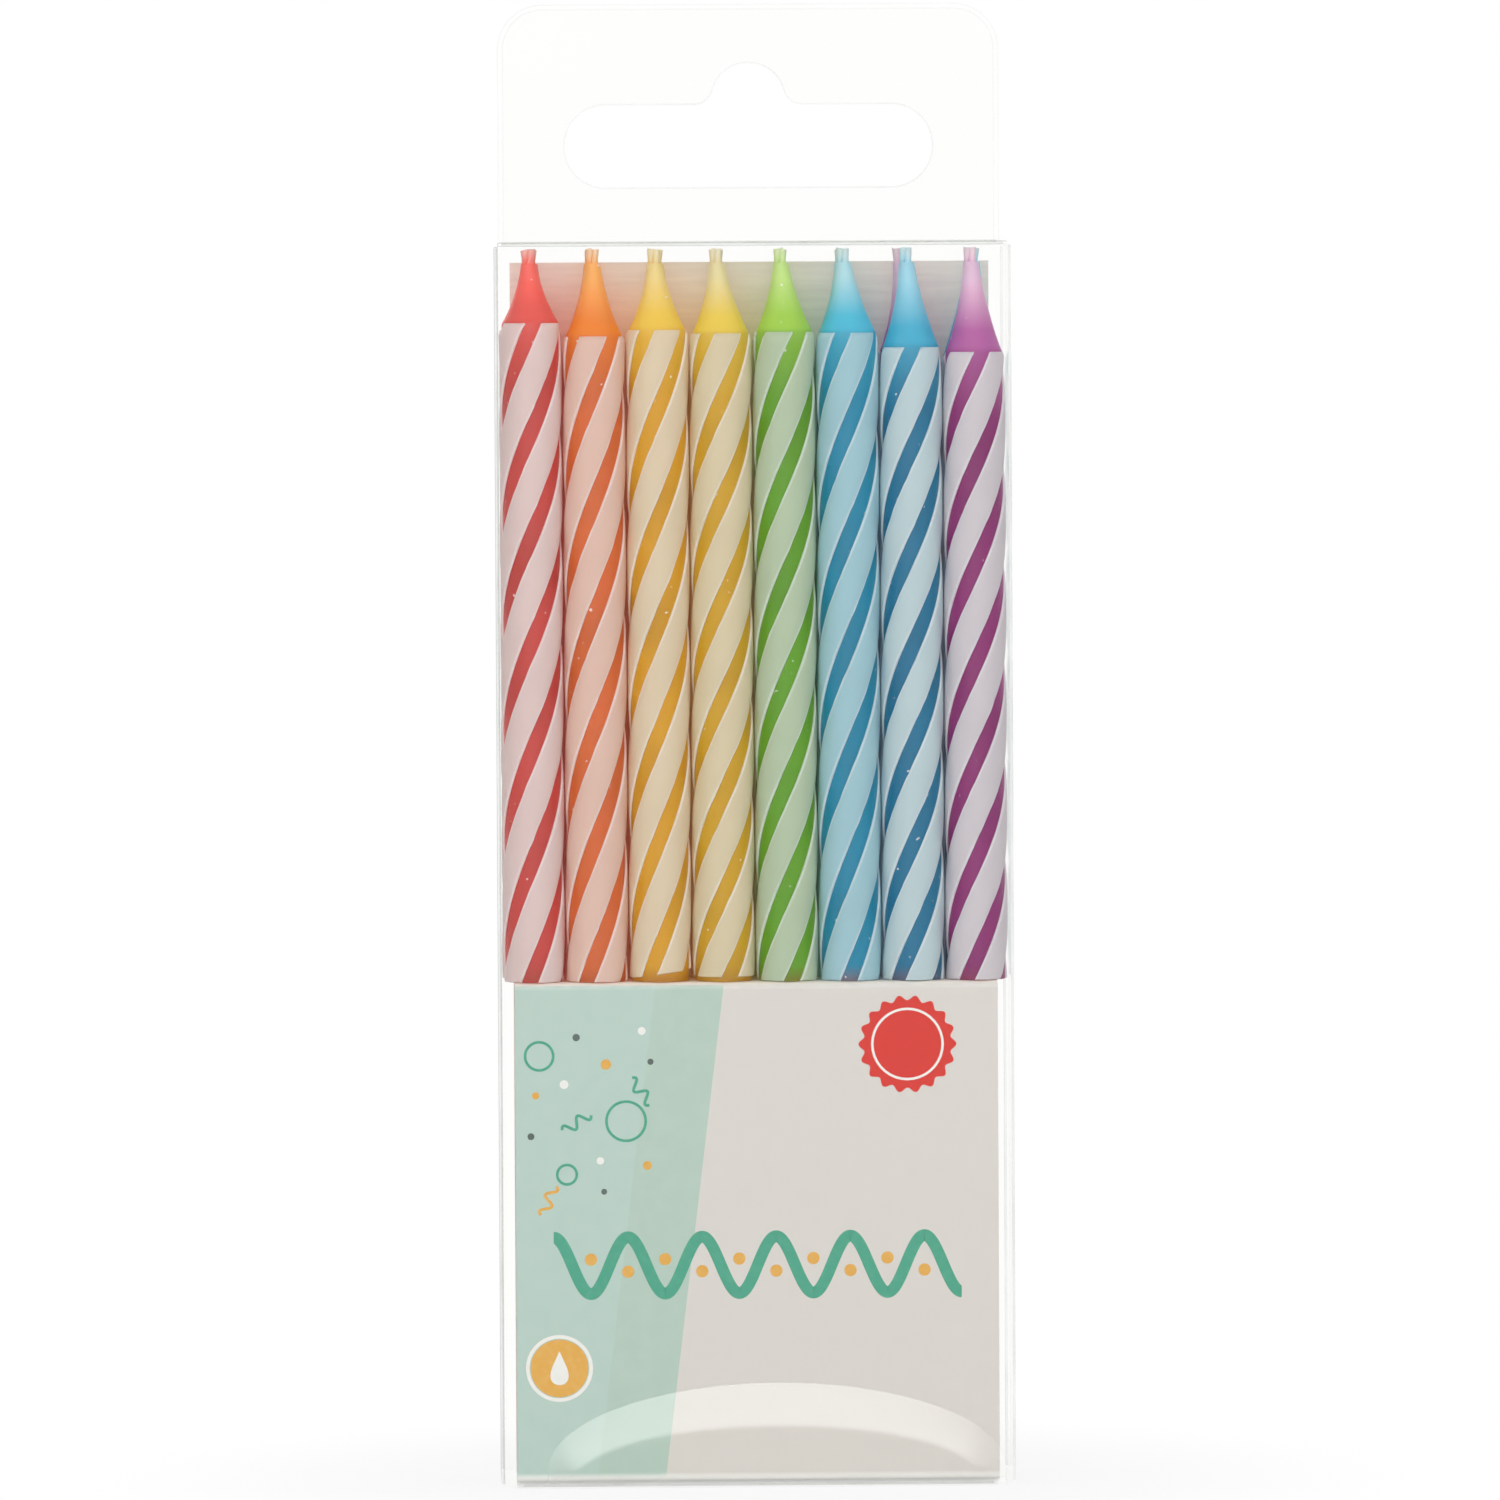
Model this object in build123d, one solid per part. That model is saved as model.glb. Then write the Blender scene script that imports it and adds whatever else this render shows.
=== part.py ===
from build123d import *
from collections import namedtuple
from math import cos, radians, sin
import os

# A clear hanging box of spiral birthday candles. Sizes are in millimetres.
# The box stands on z = 0, its front faces -Y, and +X is to the right of the front.

# Candle: a coloured wax core drawn out to a neck, white spiral bands over it, a wick through it
candle_diameter = 5.06
core_diameter = 4.56
candle_length = 59.4
wick_diameter = 1.1
wick_shown = 3.0
neck_wall = 0.2
neck_hollow = 0.25
bands_per_candle = 4
white_share = 0.63
bond_gap = 0.03

# Each candle's tip, from the top of its bands to the end of its wick, its spiral's lead, and the
# angle in degrees of its first band. Candles are cut and twisted by hand, so no two are alike.
Candle = namedtuple("Candle", "tip lead turn")
front_row = {
    "red": Candle(tip=6.1, lead=34.6, turn=32),
    "orange": Candle(tip=7.2, lead=36.4, turn=20),
    "yellow": Candle(tip=6.7, lead=35.0, turn=20),
    "lemon": Candle(tip=7.0, lead=32.0, turn=57),
    "green": Candle(tip=6.9, lead=33.5, turn=53),
    "sky": Candle(tip=7.0, lead=35.3, turn=38),
    "blue": Candle(tip=8.2, lead=31.9, turn=9),
    "purple": Candle(tip=8.6, lead=31.7, turn=22),
}
rear_row = {
    "red": Candle(tip=6.6, lead=33.8, turn=71),
    "orange": Candle(tip=7.5, lead=35.2, turn=44),
    "yellow": Candle(tip=7.3, lead=34.1, turn=8),
    "lemon": Candle(tip=7.3, lead=33.0, turn=26),
    "green": Candle(tip=7.4, lead=34.6, turn=83),
    "sky": Candle(tip=7.4, lead=32.6, turn=15),
    "purple": Candle(tip=8.5, lead=33.1, turn=62),
    "blue": Candle(tip=8.9, lead=34.0, turn=39),
}

# Room between the pieces in the box
candle_gap = 0.07
row_gap = 0.1
side_gap = 0.1
stack_gap = 0.15
stand_gap = 0.03
seat_gap = 0.1
headroom = 0.14

# Clear box: one folded and glued film. Its bottom tongue stands a little to the right of the middle.
film = 0.25
fold_inside_radius = 0.35
glue_flap_width = 9.0
crease_gap = 0.05
tuck_gap = 0.9
lid_inset = 0.3
tongue_height = 8.0
tongue_side = 1.0
tongue_inset = 2.0
bottom_tongue_shift = 1.5

# Hang tab: two plies with a hanging slot through both
tab_height = 19.5
tab_inset = 0.35
tab_corner = 3.7
ply_gap = 0.03
ply_inset = 0.4
slot_width = 30.0
slot_height = 6.7
slot_rise = 7.9
hump_radius = 3.0
hump_height = 3.4
hump_fillet = 1.5

# Card insert: one folded board, a pedestal under the candles and a panel behind them
card_thickness = 0.4
card_side_gap = 1.05
card_fold_radius = 0.4
pedestal_height = 40.45
panel_drop = 1.3
glue_tab_height = 8.0

# Widths and depths that follow from the candles
candle_pitch = candle_diameter + candle_gap
inner_width = len(front_row) * candle_pitch - candle_gap + 2 * side_gap
sleeve_width = inner_width + 2 * film
stack_depth = 2 * candle_diameter + row_gap + stack_gap + card_thickness
inner_depth = tuck_gap + film + stack_gap + stack_depth + stack_gap + film
sleeve_depth = inner_depth + 2 * film
fold_radius = fold_inside_radius + film
front_y = -sleeve_depth / 2
back_y = sleeve_depth / 2
tongue_y = front_y + film + tuck_gap
stack_y = tongue_y + film + stack_gap
front_row_y = stack_y + candle_diameter / 2
rear_row_y = front_row_y + candle_diameter + row_gap
panel_y = stack_y + stack_depth
rear_ply_y = back_y - film
front_ply_y = rear_ply_y - ply_gap - film

# Heights that follow from the candles
card_foot_z = film + seat_gap
ledge_z = card_foot_z + pedestal_height
candle_z = ledge_z + stand_gap
lid_under_z = candle_z + candle_length + headroom
lid_top_z = lid_under_z + film
wall_foot_z = film + crease_gap
wall_top_z = lid_under_z - seat_gap
tab_top_z = lid_top_z + tab_height

# Hinge lines, along X, as (y, z)
lid_hinge = (front_ply_y, lid_top_z + crease_gap)
top_tongue_hinge = (tongue_y + film, lid_under_z - crease_gap)
bottom_hinge = (rear_ply_y, film)
bottom_tongue_hinge = (tongue_y + film, film + crease_gap)

lid_width = sleeve_width - 2 * lid_inset
tongue_width = lid_width - 2 * tongue_inset
card_width = inner_width - 2 * card_side_gap


def block(x_range, y_range, z_range):
    """A box between two corners."""
    size = [high - low for low, high in (x_range, y_range, z_range)]
    low_corner = [span[0] for span in (x_range, y_range, z_range)]
    return Pos(*low_corner) * Box(*size, align=Align.MIN)


def across(width):
    """An x range centred on the box."""
    return (-width / 2, width / 2)


def sheet(sketch, y, thickness):
    """A sketch in x and z, made a sheet from y towards the back."""
    return extrude(Plane.XZ.offset(-y) * sketch, amount=-thickness)


def wax_core(tip):
    """Coloured wax: a bored cylinder that curves in to a slim neck."""
    core_radius = core_diameter / 2
    bore_radius = wick_diameter / 2 + bond_gap
    neck_radius = bore_radius + neck_wall
    shoulder = candle_length - tip
    neck_end = candle_length - wick_shown
    with BuildPart() as core:
        with BuildSketch(Plane.XZ):
            with BuildLine():
                Polyline((core_radius, shoulder), (core_radius, 0), (bore_radius, 0), (bore_radius, neck_end),
                         (neck_radius, neck_end))
                SagittaArc((core_radius, shoulder), (neck_radius, neck_end), neck_hollow)
            make_face()
        revolve(axis=Axis.Z)
    return core.part


def spiral_bands(candle):
    """White wax: spiral bands round the core, each a jacket's share within a twisted wedge."""
    outer_radius = candle_diameter / 2
    inner_radius = core_diameter / 2 + bond_gap
    length = candle_length - candle.tip
    half_band = radians(white_share * 180 / bands_per_candle)
    near, far = inner_radius / 2, 1.5 * outer_radius
    section = Polygon(
        (near * cos(half_band), -near * sin(half_band)),
        (far * cos(half_band), -far * sin(half_band)),
        (far * cos(half_band), far * sin(half_band)),
        (near * cos(half_band), near * sin(half_band)),
        align=None,
    )
    wedge = Solid.extrude_linear_with_rotation(
        section.face(), center=(0, 0, 0), normal=(0, 0, length), angle=360 * length / candle.lead)
    jacket = extrude(Circle(outer_radius) - Circle(inner_radius), amount=length)
    band = (jacket & wedge).solid()
    step = 360 / bands_per_candle
    return Compound([Rot(0, 0, candle.turn + step * i) * band for i in range(bands_per_candle)])


def candle_nodes(row_name, row, y):
    """Every candle of a row, as three nodes each, standing side by side on the ledge."""
    nodes = {}
    for i, (colour, candle) in enumerate(row.items()):
        place = Pos((i - (len(row) - 1) / 2) * candle_pitch, y, candle_z)
        wick = extrude(Circle(wick_diameter / 2), amount=candle_length)
        nodes[f"{row_name}_{colour}_core"] = place * wax_core(candle.tip)
        nodes[f"{row_name}_{colour}_bands"] = place * spiral_bands(candle)
        nodes[f"{row_name}_{colour}_wick"] = place * wick
    return nodes


def hanging_slot():
    """The slot's outline in x and z: a long round-ended slot with a hump over its middle."""
    top = slot_height / 2
    hump_centre = top + hump_height - hump_radius
    outline = SlotOverall(slot_width, slot_height) + Pos(0, hump_centre) * Circle(hump_radius)
    corners = outline.vertices().filter_by(lambda v: abs(v.Y - top) < 0.001 and abs(v.X) < hump_radius)
    return Pos(0, lid_top_z + slot_rise) * fillet(corners, hump_fillet)


def tab_outline(inset, foot_z):
    """One ply of the hang tab in x and z, with its two upper corners rounded."""
    half = sleeve_width / 2 - tab_inset - inset
    top = tab_top_z - inset
    plate = Pos(0, (foot_z + top) / 2) * Rectangle(2 * half, top - foot_z)
    upper = plate.vertices().group_by(Axis.Y)[-1]
    return fillet(upper, tab_corner - inset) - hanging_slot()


def clear_sleeve():
    """Four walls of film with a glued seam inside the back, which runs up as the tab's rear ply."""
    outer = RectangleRounded(sleeve_width, sleeve_depth, fold_radius)
    inner = RectangleRounded(inner_width, inner_depth, fold_inside_radius)
    walls = Pos(0, 0, wall_foot_z) * extrude(outer - inner, amount=wall_top_z - wall_foot_z)
    flat_width = sleeve_width - 2 * fold_radius
    front_foot = block(across(flat_width), (front_y, front_y + film), (0, wall_foot_z))
    front_lip = block(across(flat_width), (front_y, front_y + film), (wall_top_z, lid_top_z))
    back_lip = block(across(flat_width), (rear_ply_y, back_y), (wall_top_z, lid_top_z))
    rear_ply = sheet(tab_outline(0, lid_top_z), rear_ply_y, film)
    seam_edge = fold_inside_radius - inner_width / 2
    glue_flap = block((seam_edge, seam_edge + glue_flap_width), (rear_ply_y - film, rear_ply_y),
                      (wall_foot_z + seat_gap, wall_top_z - seat_gap))
    return walls + front_foot + front_lip + back_lip + rear_ply + glue_flap


def tongue_outline():
    """A tuck tongue in x and z, standing up from its fold: short straight sides, then half an ellipse."""
    half = tongue_width / 2
    with BuildSketch() as outline:
        with BuildLine():
            Polyline((half, tongue_side), (half, 0), (-half, 0), (-half, tongue_side))
            EllipticalCenterArc((0, tongue_side), half, tongue_height - tongue_side, arc_size=180)
        make_face()
    return outline.sketch


def card_insert():
    """One folded board: back panel, foot, front panel, ledge and a tab glued to the back panel."""
    half = card_thickness / 2
    back, front = panel_y - half, stack_y + half
    glue_back = back - card_thickness - ply_gap
    foot, ledge = card_foot_z + half, ledge_z - half
    fold_line = FilletPolyline(
        (back, lid_under_z - panel_drop), (back, foot), (front, foot), (front, ledge), (glue_back, ledge),
        (glue_back, ledge - glue_tab_height), radius=card_fold_radius)
    profile = Plane.YZ.offset(-card_width / 2) * trace(fold_line, card_thickness)
    return extrude(profile, amount=card_width)


nodes = {
    "clear_sleeve": clear_sleeve(),
    "hang_tab_front_ply": sheet(tab_outline(ply_inset, lid_hinge[1]), front_ply_y, film),
    "lid": block(across(lid_width), (tongue_y, front_ply_y - crease_gap), (lid_under_z, lid_top_z)),
    "lid_tongue": sheet(Pos(0, top_tongue_hinge[1]) * Rot(0, 0, 180) * tongue_outline(), tongue_y, film),
    "bottom_flap": block(across(lid_width), (tongue_y, rear_ply_y - crease_gap), (0, film)),
    "bottom_tongue": sheet(Pos(bottom_tongue_shift, bottom_tongue_hinge[1]) * tongue_outline(), tongue_y, film),
    "card_insert": card_insert(),
    **candle_nodes("front", front_row, front_row_y),
    **candle_nodes("rear", rear_row, rear_row_y),
}

os.makedirs("parts", exist_ok=True)
for name, solid in nodes.items():
    export_step(solid, f"parts/{name}.step")
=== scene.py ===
"""The looks of a clear hanging box of spiral birthday candles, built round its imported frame."""
import logging
import math
import random
from dataclasses import dataclass, field
from enum import Enum
from typing import Callable, Iterable, Sequence

import bmesh
import bpy
from mathutils import Matrix, Vector, noise


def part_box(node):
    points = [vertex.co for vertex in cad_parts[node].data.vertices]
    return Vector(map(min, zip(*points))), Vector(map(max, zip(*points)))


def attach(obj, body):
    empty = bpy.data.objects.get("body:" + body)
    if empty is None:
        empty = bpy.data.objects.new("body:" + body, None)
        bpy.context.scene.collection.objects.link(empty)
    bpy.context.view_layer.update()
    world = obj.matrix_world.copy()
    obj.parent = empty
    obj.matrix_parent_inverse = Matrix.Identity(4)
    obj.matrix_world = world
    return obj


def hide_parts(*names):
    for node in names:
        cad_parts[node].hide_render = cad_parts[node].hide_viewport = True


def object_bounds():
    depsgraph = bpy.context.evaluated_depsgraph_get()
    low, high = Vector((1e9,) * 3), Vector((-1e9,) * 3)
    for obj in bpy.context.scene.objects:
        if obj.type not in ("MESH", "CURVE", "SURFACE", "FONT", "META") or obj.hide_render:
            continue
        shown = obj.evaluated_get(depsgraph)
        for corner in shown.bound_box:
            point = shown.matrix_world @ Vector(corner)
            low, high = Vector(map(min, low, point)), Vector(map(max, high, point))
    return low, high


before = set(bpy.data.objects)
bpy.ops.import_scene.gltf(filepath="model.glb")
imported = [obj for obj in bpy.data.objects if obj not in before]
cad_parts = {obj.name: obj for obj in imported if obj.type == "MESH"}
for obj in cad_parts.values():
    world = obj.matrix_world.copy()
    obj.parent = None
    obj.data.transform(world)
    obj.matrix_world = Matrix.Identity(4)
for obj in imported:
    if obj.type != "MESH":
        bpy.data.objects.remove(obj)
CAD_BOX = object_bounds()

LOG = logging.getLogger("candle_box")
MM = 0.001
SLACK = 0.01 * MM
WHITE = "#FFFFFF"
WAX_IOR = 1.44
FILM_IOR = 1.57
PRINT_IOR = 1.5
# The sockets of a Mix node's two colours, which have no names of their own.
MIX_A, MIX_B = 6, 7

Colour = tuple[float, float, float, float]
Point = tuple[float, float, float]
BMesh = bmesh.types.BMesh
BMVert = bmesh.types.BMVert
Node = bpy.types.Node
Tree = bpy.types.NodeTree


def linear(code: str) -> Colour:
    """Turn an sRGB hex value into linear red, green, blue and alpha.

    Args:
        code: The colour, as in "#C0FFEE".

    Returns:
        Four numbers from 0 to 1, for a shader's colour socket.
    """
    parts = [int(code[i:i + 2], 16) / 255 for i in (1, 3, 5)]
    red, green, blue = [p / 12.92 if p <= 0.04045 else ((p + 0.055) / 1.055) ** 2.4 for p in parts]
    return red, green, blue, 1.0


def blend(first: str, second: str, share: float) -> Colour:
    """Mix two colours in linear light.

    Args:
        first: An sRGB hex value.
        second: The sRGB hex value mixed into it.
        share: The second colour's share, from 0 to 1.

    Returns:
        The mixed colour, for a shader's colour socket.
    """
    red, green, blue = [a + (b - a) * share for a, b in zip(linear(first)[:3], linear(second)[:3])]
    return red, green, blue, 1.0


def per_mm(size: float) -> float:
    """Scale of a texture whose features are that many millimetres apart."""
    return 1 / (size * MM)


def add(tree: Tree, kind: str, inputs: dict[str | int, object] | None = None, **settings: object) -> Node:
    """Add a shader node with its settings, and set or link its inputs.

    Args:
        tree: The node tree that gets the node.
        kind: The node's type without its prefix, such as "Mix" for ShaderNodeMix.
        inputs: Socket name or number to a constant, to the output socket to link, or to the node whose
            first output in use is linked.
        settings: The node's own properties.

    Returns:
        The new node.
    """
    node = tree.nodes.new(f"ShaderNode{kind}")
    for name, value in settings.items():
        setattr(node, name, value)
    for key, value in (inputs or {}).items():
        if isinstance(value, Node):
            value = next(output for output in value.outputs if output.enabled)
        if isinstance(value, bpy.types.NodeSocket):
            tree.links.new(value, node.inputs[key])
        else:
            node.inputs[key].default_value = value
    return node


def stops(node: Node, *points: tuple[float, Colour]) -> Node:
    """Set the stops of a colour ramp.

    Args:
        node: A Color Ramp node.
        points: Each stop's place from 0 to 1, and its colour.

    Returns:
        The node.
    """
    elements = node.color_ramp.elements
    while len(elements) < len(points):
        elements.new(0.5)
    for element, (place, colour) in zip(elements, points):
        element.position = place
        element.color = colour
    return node


def lamplit_through(tree: Tree, shader: Node, tint: Colour) -> Node:
    """Let the lamps shine partly through a solid, as they do through wax.

    Args:
        tree: The material's tree.
        shader: What the eye sees.
        tint: The colour and share of the light that each face lets through.

    Returns:
        The shader, which casts a pale coloured shadow.
    """
    lamp_ray = add(tree, "LightPath").outputs["Is Shadow Ray"]
    through = add(tree, "BsdfTransparent", {"Color": tint})
    return add(tree, "MixShader", {0: lamp_ray, 1: shader, 2: through})


def seen_directly(tree: Tree) -> Node:
    """Tell the rays of the camera, off a gloss and through something clear from all others.

    Args:
        tree: The material's or the world's tree.

    Returns:
        A node that gives 1 for those rays and 0 for the rest.
    """
    path = add(tree, "LightPath").outputs
    seen = add(tree, "Math", {0: path["Is Camera Ray"], 1: path["Is Glossy Ray"]}, operation="MAXIMUM")
    return add(tree, "Math", {0: seen, 1: path["Is Transmission Ray"]}, operation="MAXIMUM")


@dataclass(frozen=True)
class Finish:
    """A surface finish: a name for what it really is, and the nodes that show it."""

    name: str

    def nodes(self, tree: Tree) -> Node:
        """Add the finish's nodes to an empty tree and return its shader."""
        raise NotImplementedError

    def material(self) -> bpy.types.Material:
        """The finish's material, made once.

        Returns:
            The material, with its shader linked to the output.
        """
        found = bpy.data.materials.get(self.name)
        if found:
            return found
        made = bpy.data.materials.new(self.name)
        made.use_nodes = True
        made.node_tree.nodes.clear()
        add(made.node_tree, "OutputMaterial", {"Surface": self.nodes(made.node_tree)})
        return made


@dataclass(frozen=True)
class ColouredWax(Finish):
    """Dyed paraffin, drawn and twisted: even, translucent and softly glossy, with rare flecks of white bloom.

    The dye looks deepest where the wax is thick, and thins out up the drawn neck towards the wick, where its
    brightest colour is partly painted light: a painted glow of light through the thin wax and a painted
    highlight.
    """

    body: str
    neck: str
    # The colour at the wick: paler where the drawn wax is thin, and brightened further by a painted glow of
    # light through the wax and a painted highlight.
    tip: str
    foot_darkening: str = "#8A3A12"
    depth: str = "#200400"
    bloom: str = "#F6F0EC"
    glow: str = "#FFEFDF"

    def nodes(self, tree: Tree) -> Node:
        """Dye by the height along the candle, clouded where the wax is thick, with flecks of bloom on it.

        Args:
            tree: The material's empty tree.

        Returns:
            The wax's shader.
        """
        place = add(tree, "TexCoord").outputs["Object"]
        rise = add(tree, "Attribute", attribute_name="rise").outputs["Fac"]
        body, neck = linear(self.body), linear(self.neck)
        # The dye turns darker brown over about the lowest millimetre at the foot.
        dye = stops(add(tree, "ValToRGB", {"Fac": rise}), (0.0, blend(self.body, self.foot_darkening, 0.6)),
                    (0.012, body), (0.45, body), (0.53, neck), (0.62, neck), (0.9, linear(self.tip)))
        cloud = add(tree, "TexNoise", {"Vector": place, "Scale": per_mm(6.0), "Detail": 2.0})
        dense = add(tree, "MapRange", {"Value": cloud, "From Min": 0.42, "From Max": 0.72})
        thick = add(tree, "MapRange", {
            "Value": rise, "From Min": 0.44, "From Max": 0.51, "To Min": 0.7, "To Max": 0.0})
        deepest = add(tree, "Math", {0: dense, 1: thick}, operation="MULTIPLY")
        clouded = add(tree, "Mix", {
            0: deepest, MIX_A: dye, MIX_B: blend(self.body, self.depth, 0.25)}, data_type="RGBA")
        speck = add(tree, "TexNoise", {"Vector": place, "Scale": per_mm(0.5), "Detail": 1.0})
        fleck = add(tree, "MapRange", {"Value": speck, "From Min": 0.755, "From Max": 0.8, "To Max": 0.7})
        colour = add(tree, "Mix", {0: fleck, MIX_A: clouded, MIX_B: linear(self.bloom)}, data_type="RGBA")
        gloss = add(tree, "MapRange", {"Value": cloud, "To Min": 0.36, "To Max": 0.54})
        grain = add(tree, "TexNoise", {"Vector": place, "Scale": per_mm(0.8), "Detail": 3.0})
        relief = add(tree, "Bump", {"Height": grain, "Strength": 0.25, "Distance": 0.05 * MM})
        wax = add(tree, "BsdfPrincipled", {
            "Base Color": colour, "Roughness": gloss, "IOR": WAX_IOR, "Normal": relief,
            "Subsurface Weight": 0.6, "Subsurface Radius": (1.0, 0.7, 0.5), "Subsurface Scale": 0.6 * MM,
            "Sheen Weight": 0.3, "Sheen Roughness": 0.5, "Sheen Tint": neck})
        return lamplit_through(tree, wax, blend(self.neck, self.glow, 0.4))


@dataclass(frozen=True)
class WhiteWax(Finish):
    """White paraffin in thin bands: chalky and matt, coloured by the core beneath, with a painted highlight
    along each band's edge.
    """

    body: str
    rubbed: str = "#6B5A50"

    def nodes(self, tree: Tree) -> Node:
        """Core-coloured white, with a painted highlight along the band's edges, rubbed patches and fine pits.

        Args:
            tree: The material's empty tree.

        Returns:
            The wax's shader.
        """
        place = add(tree, "TexCoord").outputs["Object"]
        across = add(tree, "Attribute", attribute_name="across").outputs["Fac"]
        # rim is a painted highlight along each band's edge, where the raised edge would catch the light.
        body, rim = linear(self.body), blend(self.body, WHITE, 0.4)
        core_tint_and_edge_highlight = stops(add(tree, "ValToRGB", {"Fac": across}), (0.0, rim), (0.02, rim), (0.09, body),
                       (0.91, body), (0.98, rim), (1.0, rim))
        cloud = add(tree, "TexNoise", {"Vector": place, "Scale": per_mm(4.0), "Detail": 3.0})
        rub = add(tree, "MapRange", {"Value": cloud, "From Min": 0.45, "From Max": 0.75, "To Max": 0.35})
        colour = add(tree, "Mix", {
            0: rub, MIX_A: core_tint_and_edge_highlight, MIX_B: blend(self.body, self.rubbed, 0.12)}, data_type="RGBA")
        gloss = add(tree, "MapRange", {"Value": cloud, "To Min": 0.44, "To Max": 0.64})
        grain = add(tree, "TexNoise", {"Vector": place, "Scale": per_mm(0.6), "Detail": 4.0})
        relief = add(tree, "Bump", {"Height": grain, "Strength": 0.3, "Distance": 0.05 * MM})
        wax = add(tree, "BsdfPrincipled", {
            "Base Color": colour, "Roughness": gloss, "IOR": WAX_IOR, "Normal": relief,
            "Subsurface Weight": 0.45, "Subsurface Radius": (1.0, 0.85, 0.75), "Subsurface Scale": 0.9 * MM,
            "Sheen Weight": 0.3, "Sheen Roughness": 0.5, "Sheen Tint": body})
        return lamplit_through(tree, wax, blend(self.body, WHITE, 0.65))


@dataclass(frozen=True)
class WaxedCotton(Finish):
    """Twisted cotton dipped in the candle's wax: pale, glossy where wax lies, with fibres along it."""

    body: str
    dry: str = "#FBF6EC"
    fibre: str = "#F7F1E4"

    def nodes(self, tree: Tree) -> Node:
        """The candle's own dye, paler up the wick, with fibres drawn along it.

        Args:
            tree: The material's empty tree.

        Returns:
            The cotton's shader.
        """
        place = add(tree, "TexCoord").outputs["Object"]
        rise = add(tree, "Attribute", attribute_name="rise").outputs["Fac"]
        dipped = stops(add(tree, "ValToRGB", {"Fac": rise}), (0.0, linear(self.body)),
                       (1.0, blend(self.body, self.dry, 0.5)))
        # Cotton fibres are about 0.02 mm thick; they are drawn 0.12 mm apart, so that they show.
        along = add(tree, "Mapping", {"Vector": place, "Scale": (1.0, 1.0, 0.12)})
        fibres = add(tree, "TexNoise", {"Vector": along, "Scale": per_mm(0.12), "Detail": 2.0})
        bare = add(tree, "MapRange", {"Value": fibres, "From Min": 0.5, "From Max": 0.75, "To Max": 0.5})
        colour = add(tree, "Mix", {0: bare, MIX_A: dipped, MIX_B: linear(self.fibre)}, data_type="RGBA")
        gloss = add(tree, "MapRange", {"Value": fibres, "To Min": 0.3, "To Max": 0.7})
        relief = add(tree, "Bump", {"Height": fibres, "Strength": 0.4, "Distance": 0.04 * MM})
        cotton = add(tree, "BsdfPrincipled", {
            "Base Color": colour, "Roughness": gloss, "IOR": WAX_IOR, "Normal": relief,
            "Subsurface Weight": 0.2, "Subsurface Radius": (1.0, 0.8, 0.6), "Subsurface Scale": 0.4 * MM})
        return lamplit_through(tree, cotton, blend(self.body, WHITE, 0.4))


@dataclass(frozen=True)
class ClearFilm(Finish):
    """Clear PET film, cast and die-cut: almost invisible face on, glossy, and grey-green seen edgewise."""

    face: str = "#FEFEFD"
    edge: str = "#AEB8B0"
    mirrored: str = "#FDFEFD"
    gleam: float = 0.007
    mirror: float = 0.5
    rim_gleam: float = 0.0
    blur: float = 0.07

    def nodes(self, tree: Tree) -> Node:
        """Clear, with a mirror that grows edgewise, and more absorption the longer the way through.

        Args:
            tree: The material's empty tree.

        Returns:
            The film's shader: a weak mirror face on, stronger on a sprung rim, and stronger still edgewise.
        """
        place = add(tree, "TexCoord").outputs["Object"]
        wave = add(tree, "TexNoise", {"Vector": place, "Scale": per_mm(22.0), "Detail": 1.0})
        bow = add(tree, "Bump", {"Height": wave, "Strength": 0.35, "Distance": 0.5 * MM})
        facing = add(tree, "LayerWeight", {"Blend": 0.5}).outputs["Facing"]
        face = blend(self.face, WHITE, 0.75)
        tint = stops(add(tree, "ValToRGB", {"Fac": facing}), (0.0, face), (0.965, face),
                     (1.0, linear(self.edge)))
        clear = add(tree, "BsdfTransparent", {"Color": tint})
        gloss = add(tree, "BsdfPrincipled", {
            "Base Color": linear(self.mirrored), "Metallic": 1.0, "Roughness": self.blur, "Normal": bow})
        # A clear sheet's mirror grows by about the fifth power of how far it is turned away.
        law = add(tree, "Math", {0: facing, 1: 5.0}, operation="POWER")
        face_on = self.gleam
        if self.rim_gleam:
            rim = add(tree, "Attribute", attribute_name="rim").outputs["Fac"]
            face_on = add(tree, "MapRange", {"Value": rim, "To Min": self.gleam, "To Max": self.rim_gleam})
        share = add(tree, "MapRange", {"Value": law, "To Min": face_on, "To Max": self.mirror})
        return add(tree, "MixShader", {0: share, 1: clear, 2: gloss})


@dataclass(frozen=True)
class CreasedFilm(Finish):
    """PET film stretched in a fold: it turns cloudy and grey-green, so the folds show as fine lines."""

    body: str = "#B0B6AA"
    cover: float = 0.1

    def nodes(self, tree: Tree) -> Node:
        """A cloudy film that still lets most of the light through, patchy along the fold.

        Args:
            tree: The material's empty tree.

        Returns:
            The film's shader.
        """
        place = add(tree, "TexCoord").outputs["Object"]
        patch = add(tree, "TexNoise", {"Vector": place, "Scale": per_mm(6.0), "Detail": 2.0})
        cover = add(tree, "MapRange", {
            "Value": patch, "From Min": 0.3, "From Max": 0.7,
            "To Min": 0.5 * self.cover, "To Max": 1.4 * self.cover})
        clear = add(tree, "BsdfTransparent")
        cloudy = add(tree, "BsdfPrincipled", {
            "Base Color": linear(self.body), "Roughness": 0.3, "IOR": FILM_IOR})
        return add(tree, "MixShader", {0: cover, 1: clear, 2: cloudy})


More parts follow.
